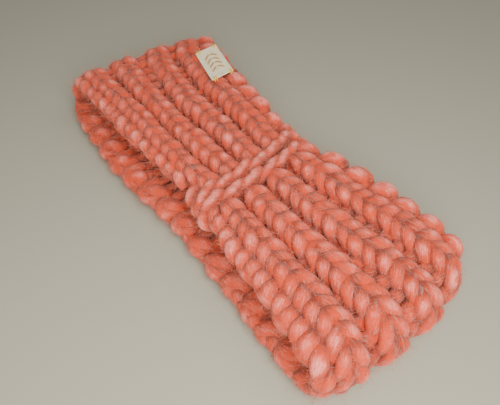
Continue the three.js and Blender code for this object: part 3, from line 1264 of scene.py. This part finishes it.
@dataclass
class GatherSeam:
    """The gathered seam: two rows of slanted strands over the drawn-in ends of the strip."""

    lie: BandLie
    strand_radius: float = 2.4
    loop_radius: float = 3.1
    loop_taper: float = 0.3
    top: float = 31.2
    sides: int = 14
    per_span: int = 4
    loop_span: int = 7
    core_end: float = 0.97
    core_points: int = 40
    core_wobble: float = 0.5
    core_ripples: float = 18.0

    def strand(self, made: Solid, s: SeamStrand) -> None:
        """Adds one strand, with both ends tucked in under its neighbours.

        Args:
            made: The solid that it goes into.
            s: Where it runs.
        """
        start, end = np.array([s.from_x, s.from_y]), np.array([s.to_x, s.to_y])
        way = end - start
        side = np.array([-way[1], way[0]]) / np.linalg.norm(way)
        radius = self.strand_radius * s.girth
        centre = self.top - radius
        line = smooth_line(
            np.array(
                [
                    (*(start + way * p.at + side * p.sway), centre + p.drop, radius * p.girth)
                    for p in STRAND_STOPS
                ]
            ),
            self.per_span,
        )
        made.add_tube(line[:, :3], line[:, 3], UP, self.sides, flatness=0.95, twist=13.0)

    def loop(self, made: Solid, points: tuple[tuple[float, float, float], ...]) -> None:
        """Adds one loop at an end of the seam.

        Args:
            made: The solid that it goes into.
            points: The points of its middle line, in millimetres.
        """
        line = smooth_line(np.array(points), self.loop_span)
        along = np.linspace(-1, 1, len(line))
        radii = self.loop_radius * (1 - self.loop_taper * along**4)
        made.add_tube(line, radii, UP, self.sides, flatness=0.9, twist=17.0)

    def core(self, made: Solid) -> None:
        """Adds the yarn that the strands are drawn round, out of sight but for the seam's ends.

        Args:
            made: The solid that it goes into.
        """
        for yarn in CORE_YARNS:
            across = np.linspace(self.core_end, -self.core_end, self.core_points)
            distance = np.full(len(across), yarn.along)
            ripple = np.sin(across * self.core_ripples + yarn.along)
            height = yarn.height + self.core_wobble * ripple
            line = self.lie.place(distance, across, height)
            swell = yarn.radius * (0.55 + 0.45 * np.sqrt(np.clip(1 - across**6, 0, 1)))
            made.add_tube(line, swell, self.lie.outward(distance), self.sides)

    def solid(self) -> Solid:
        """Builds both rows of strands, the loops at their ends and the core under them.

        Returns:
            All of it as one solid.
        """
        made = Solid()
        for strand in BACK_ROW + FRONT_ROW:
            self.strand(made, strand)
        for points in END_LOOPS:
            self.loop(made, points)
        self.core(made)
        return made


@dataclass
class TapeLabel:
    """The small label of cotton tape, sewn at its corners, with a row of plain chevrons on it."""

    lie: BandLie
    tape: WovenTape
    length: float = 32.0
    width: float = 16.4
    thickness: float = 0.8
    along: float = -0.302
    across: float = 0.6
    turn: float = 13.2
    skew: float = 5.0
    rise: float = 0.5
    clearance: float = 0.3
    press_from: float = 20.0
    press_reach: float = 1.0
    press_gap: float = 0.15
    press_left: float = 0.15
    cloth_gap: float = 0.1
    cloth_share: float = 0.8
    edge_radius: float = 0.2
    corner_curl: float = 0.35
    back_sag: float = 0.2
    corner_bar: float = 4.6
    bar_radius: float = 0.48
    bar_points: int = 9
    bar_sides: int = 10
    bar_lift: float = 0.1
    bar_dive: float = 1.1
    bar_taper: float = 0.45
    thread_twist: float = 1.2
    chevron_count: int = 4
    chevron_start: float = 0.22
    chevron_pitch: float = 0.145
    chevron_reach: float = 0.13
    chevron_radius: float = 0.46

    def surface(
        self, along: np.ndarray, over: np.ndarray, height: float | np.ndarray
    ) -> np.ndarray:
        """Places points of the label.

        Args:
            along: Shares along its longer sides, from 0 to 1.
            over: Shares along its shorter sides, from 0 to 1.
            height: How far above its underside they are.

        Returns:
            Points in millimetres.
        """
        cos, sin = math.cos(math.radians(self.turn)), math.sin(math.radians(self.turn))
        reach = self.length * (along - 0.5)
        shift = self.skew * (over - 0.5)
        x = self.along * self.lie.band_length + (reach - shift) * cos
        y = self.across * self.lie.half_width - (reach - shift) * sin
        lift = self.lie.columns(self.lie.top_start + self.lie.turn_x + x)[:, 6]
        top = self.lie.turn_height + self.lie.turn_radius + self.lie.half_knit + self.clearance
        return np.stack(
            [
                x + self.width * (over - 0.5) * sin,
                y + self.width * (over - 0.5) * cos,
                top + lift * self.lie.knit_thickness + self.rise * over + height,
            ],
            axis=1,
        )

    def press(self, solid: Solid) -> None:
        """Presses the yarn down where the label lies on it.

        Args:
            solid: The solid whose corners move.
        """
        grid = np.stack(np.meshgrid(np.linspace(-0.04, 1.04, 45), np.linspace(-0.06, 1.06, 25)), -1)
        flat = grid.reshape(-1, 2)
        cover = self.surface(flat[:, 0], flat[:, 1], 0.0)
        corners = solid.all_corners()
        low, high = cover[:, :2].min(0), cover[:, :2].max(0)
        within = (corners[:, :2] > low).all(1) & (corners[:, :2] < high).all(1)
        inside = np.where(within & (corners[:, 2] > self.press_from))[0]
        if not len(inside):
            return
        gap = np.linalg.norm(corners[inside, None, :2] - cover[None, :, :2], axis=2)
        near = gap.argmin(1)
        limit = cover[near, 2] - self.press_gap
        close = gap[np.arange(len(inside)), near] < self.press_reach
        hit = close & (corners[inside, 2] > limit)
        past = corners[inside[hit], 2] - limit[hit]
        corners[inside[hit], 2] = limit[hit] - self.press_left * past
        solid.set_corners(corners)

    def cloth(self) -> bpy.types.Object:
        """Makes the tape as a closed sheet with softly rounded edges.

        Returns:
            The tape, riding on the root body.
        """
        bpy.ops.object.select_all(action="DESELECT")
        bpy.ops.mesh.primitive_grid_add(x_subdivisions=32, y_subdivisions=18, size=1)
        made = bpy.context.object
        made.name = made.data.name = "label_tape"
        corners = np.array([v.co for v in made.data.vertices])
        along, over = corners[:, 0] + 0.5, corners[:, 1] + 0.5
        curl = self.corner_curl * np.abs(2 * along - 1) ** 6
        curl -= self.back_sag * np.sin(np.pi * along) * (1 - over)
        placed = self.surface(along, over, 0.0)
        placed[:, 2] += curl + self.cloth_gap
        made.data.vertices.foreach_set("co", (placed * MM).astype(np.float32).ravel())
        layer = made.data.uv_layers.new(name="tape")
        corner_of = np.empty(len(made.data.loops), int)
        made.data.loops.foreach_get("vertex_index", corner_of)
        flat = np.stack([along * self.length, over * self.width], 1)[corner_of]
        layer.data.foreach_set("uv", flat.astype(np.float32).ravel())
        made.data.update()
        solidify = made.modifiers.new("thickness", "SOLIDIFY")
        solidify.thickness, solidify.offset = self.thickness * MM * self.cloth_share, 1.0
        bevel = made.modifiers.new("soft_edge", "BEVEL")
        bevel.width, bevel.segments, bevel.limit_method = self.edge_radius * MM, 2, "ANGLE"
        for modifier in ("thickness", "soft_edge"):
            bpy.ops.object.modifier_apply(modifier=modifier)
        made.data.shade_smooth()
        made.data.materials.append(self.tape.material())
        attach(made, "root")
        return made

    def bars(self, marks: list[tuple], radius: float) -> Solid:
        """Builds straight thread stitches over the tape.

        Args:
            marks: For each, the shares along and over of its two ends.
            radius: The thread's radius.

        Returns:
            The stitches as one solid.
        """
        made = Solid()
        for first, second in marks:
            t = np.linspace(0, 1, self.bar_points)
            near_end = np.abs(2 * t - 1) ** 3
            along = first[0] + (second[0] - first[0]) * t
            over = first[1] + (second[1] - first[1]) * t
            hump = self.thickness + self.bar_lift + 0.7 * radius - self.bar_dive * near_end
            line = self.surface(along, over, hump)
            swell = radius * (1 - self.bar_taper * near_end)
            made.add_tube(
                line, swell, UP, self.bar_sides, flatness=0.85, twist=self.thread_twist, streak=1.5
            )
        return made

    def corner_stitches(self) -> Solid:
        """Builds the thread stitches that hold the corners, across the short ends.

        Returns:
            The stitches as one solid.
        """
        reach = self.corner_bar / self.length
        marks = []
        for end in (0.0, 1.0):
            inward = 1 if end == 0 else -1
            for over in (0.1, 0.2, 0.84, 0.92):
                start = end - inward * 0.35 * reach
                marks.append(((start, over), (start + inward * reach, over + 0.02)))
        return self.bars(marks, self.bar_radius)

    def chevrons(self) -> Solid:
        """Builds a generic motif of chevrons, one after another along the tape.

        Returns:
            The motif as one solid.
        """
        marks = []
        for k in range(self.chevron_count):
            tip = self.chevron_start + self.chevron_pitch * k
            for over in (0.2, 0.8):
                marks.append(((tip, 0.5), (tip + self.chevron_reach, over)))
        return self.bars(marks, self.chevron_radius)


@dataclass(frozen=True)
class FibreLot:
    """One lot of fibres: its own number for the random draws, how many there are, their least and
    greatest length and their radius at the root in millimetres, and the rings along each."""

    name: str
    number: int
    count: int
    shortest: float
    longest: float
    radius: float
    rings: int


FIBRE_LOTS = (
    FibreLot("wool_fuzz_a", 7, 17000, 0.9, 3.6, 0.055, 2),
    FibreLot("wool_fuzz_b", 8, 9000, 1.6, 7.0, 0.055, 3),
    FibreLot("wool_strays", 9, 2600, 4.0, 12.0, 0.055, 5),
)


@dataclass
class WoolHalo:
    """Fine fibres that stand off the yarn all over, as on any soft spun wool."""

    solids: list[Solid]
    shelters: list[np.ndarray]
    lowest: float = 0.15
    highest: float = 41.0
    most_shelter: float = 0.55
    stand: tuple[float, float] = (0.15, 0.85)
    bend: float = 0.6
    sag: float = 0.3
    rarity: float = 2.2
    tip_taper: float = 0.6

    def __post_init__(self) -> None:
        """Collects the places of the yarn that fibres can grow from."""
        self.corners = np.vstack([s.all_corners() for s in self.solids])
        self.normals = np.vstack([np.vstack(s.normals) for s in self.solids])
        self.open_places = np.where(np.concatenate(self.shelters) < self.most_shelter)[0]

    def solid(self, lot: FibreLot) -> Solid:
        """Grows one lot of fibres, three-sided and closed.

        Args:
            lot: What they are like. Few of them reach the greatest length.

        Returns:
            All of them as one solid.
        """
        count, rings = lot.count, lot.rings
        rng = np.random.default_rng(SEED + lot.number)
        roots = rng.choice(self.open_places, count, replace=False)
        start, out = self.corners[roots], self.normals[roots]
        side = rng.normal(size=(count, 3))
        side = unit(side - np.sum(side * out, axis=1, keepdims=True) * out)
        stand = rng.uniform(*self.stand, count)[:, None]
        way = unit(out * stand + side * (1 - stand))
        bend = rng.normal(size=(count, 3)) * self.bend - out * self.sag
        span = lot.longest - lot.shortest
        length = (lot.shortest + span * rng.random(count) ** self.rarity)[:, None]
        steps = np.linspace(0, 1, rings)
        lines = np.stack([start + length * (way * t + bend * t * t * 0.5) for t in steps], 1)
        lines[:, :, 2] = np.clip(lines[:, :, 2], self.lowest, self.highest)
        thin = lot.radius * (1 - self.tip_taper * steps)
        tangents = unit(np.gradient(lines, axis=1))
        first = unit(np.cross(tangents, out[:, None] + 0.01))
        second = np.cross(tangents, first)
        turned = 2 * np.pi * np.arange(3) / 3
        sides = [
            lines + thin[None, :, None] * (first * math.cos(a) - second * math.sin(a))
            for a in turned
        ]
        corners = np.stack(sides, 2).reshape(-1, 3)
        faces = []
        for base in range(0, 3 * rings * count, 3 * rings):
            for low in range(base, base + 3 * rings - 3, 3):
                faces.append((low, low + 3, low + 4, low + 1))
                faces.append((low + 1, low + 4, low + 5, low + 2))
                faces.append((low + 2, low + 5, low + 3, low))
            last = base + 3 * rings
            faces.append((base, base + 1, base + 2))
            faces.append((last - 1, last - 2, last - 3))
        made = Solid()
        made.add(corners, corners, np.zeros_like(corners), faces, (count * rings, 3))
        return made


@dataclass(frozen=True)
class SoftLamp:
    """A soft area light: where it hangs and how wide it is in metres, its power in watts, and its
    sRGB hex colour."""

    name: str
    place: tuple[float, float, float]
    size: float
    watts: float
    colour: str


LAMPS = (
    SoftLamp("window", (0.24, -0.13, 0.28), 0.34, 3.1, "#FFFAF2"),
    SoftLamp("ceiling", (0.16, 0.28, 0.85), 0.8, 3.0, "#FFFDF8"),
)


@dataclass
class Studio:
    """A plain pale floor, soft light from above and the camera at the photograph's angle."""

    board: MattBoard
    target: tuple[float, float, float] = (20.2, -8.55, 15.0)
    azimuth: float = -40.0
    elevation: float = 50.7
    roll: float = 4.0
    distance: float = 248.0
    lens: float = 32.9
    sensor: float = 36.0
    floor_size: float = 6.0
    fill: float = 0.38
    fill_colour: str = "#F4F1EC"

    def floor(self) -> None:
        """Lays the floor under the object."""
        bpy.ops.object.select_all(action="DESELECT")
        bpy.ops.mesh.primitive_plane_add(size=self.floor_size, location=(0, 0, 0))
        floor = bpy.context.object
        floor.name = "floor"
        floor.data.materials.append(self.board.material())

    def light(self, lamp: SoftLamp) -> None:
        """Hangs one lamp, facing the object.

        Args:
            lamp: What it is like.
        """
        data = bpy.data.lights.new(lamp.name, "AREA")
        data.shape, data.size, data.energy = "DISK", lamp.size, lamp.watts
        data.color = linear(lamp.colour)[:3]
        made = bpy.data.objects.new(lamp.name, data)
        made.location = lamp.place
        made.rotation_euler = (-Vector(lamp.place)).to_track_quat("-Z", "Y").to_euler()
        bpy.context.scene.collection.objects.link(made)

    def world(self) -> None:
        """Fills the shadows from all sides."""
        world = bpy.data.worlds.new("soft_fill")
        world.use_nodes = True
        back = world.node_tree.nodes["Background"]
        back.inputs["Color"].default_value = linear(self.fill_colour)
        back.inputs["Strength"].default_value = self.fill
        bpy.context.scene.world = world

    def camera(self) -> None:
        """Sets the camera where the photograph was taken from."""
        a, e, r = (math.radians(x) for x in (self.azimuth, self.elevation, self.roll))
        back = Vector((math.cos(a) * math.cos(e), math.sin(a) * math.cos(e), math.sin(e)))
        level = Vector((-math.sin(a), math.cos(a), 0))
        over = back.cross(level)
        right = level * math.cos(r) + over * math.sin(r)
        up = over * math.cos(r) - level * math.sin(r)
        data = bpy.data.cameras.new("photo_camera")
        data.lens, data.sensor_width, data.sensor_fit = self.lens, self.sensor, "AUTO"
        data.clip_start, data.clip_end = 0.01, 20
        made = bpy.data.objects.new("photo_camera", data)
        turned = Matrix((right, up, back)).transposed().to_4x4()
        turned.translation = (Vector(self.target) + back * self.distance) * MM
        made.matrix_world = turned
        bpy.context.scene.collection.objects.link(made)
        bpy.context.scene.camera = made

    def build(self) -> None:
        """Builds all of it."""
        self.camera()
        self.floor()
        self.world()
        for lamp in LAMPS:
            self.light(lamp)


def main() -> None:
    """Builds the scene piece by piece."""
    logging.basicConfig(level=logging.INFO, format="%(name)s: %(message)s")
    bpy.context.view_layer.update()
    Studio(MattBoard()).build()
    lie, wool = BandLie(), RovingWool()
    strip, seam, label = KnitStrip(lie), GatherSeam(lie), TapeLabel(lie, WovenTape())
    solids = strip.solids()
    solids["knit_ground"] = strip.ground()
    solids["gather_strands"] = seam.solid()
    for solid in solids.values():
        label.press(solid)
        corners = solid.all_corners()
        corners[:, 2] = np.maximum(corners[:, 2], FLOOR_GAP_MM)
        solid.set_corners(corners)
    shelters = Shelter(list(solids.values())).measure()
    material = wool.material()
    for (name, solid), shelter in zip(solids.items(), shelters):
        solid.make(name, material, shelter)
        log.info("%s: %d corners, sheltered %.2f", name, solid.count, float(shelter.mean()))
    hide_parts("knit_band")
    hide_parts("gather_seam")
    tape = label.cloth()
    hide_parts("label")
    yellow = SewingThread("yellow_thread", "#F0CC4E", "#C99A22").material()
    ochre = SewingThread("ochre_thread", "#B98A45", "#93672B").material()
    stitches = label.corner_stitches().make("label_stitches", yellow, None)
    motif = label.chevrons().make("label_chevrons", ochre, None)
    log.info("label: tape, stitches and chevrons")
    loose = [(s, h) for (n, s), h in zip(solids.items(), shelters) if n != "knit_ground"]
    halo = WoolHalo([s for s, _ in loose], [h for _, h in loose])
    fibre = StrayFibre().material()
    for lot in FIBRE_LOTS:
        halo.solid(lot).make(lot.name, fibre, None)
    log.info("wool fuzz and strays")


if __name__ == "__main__":
    main()
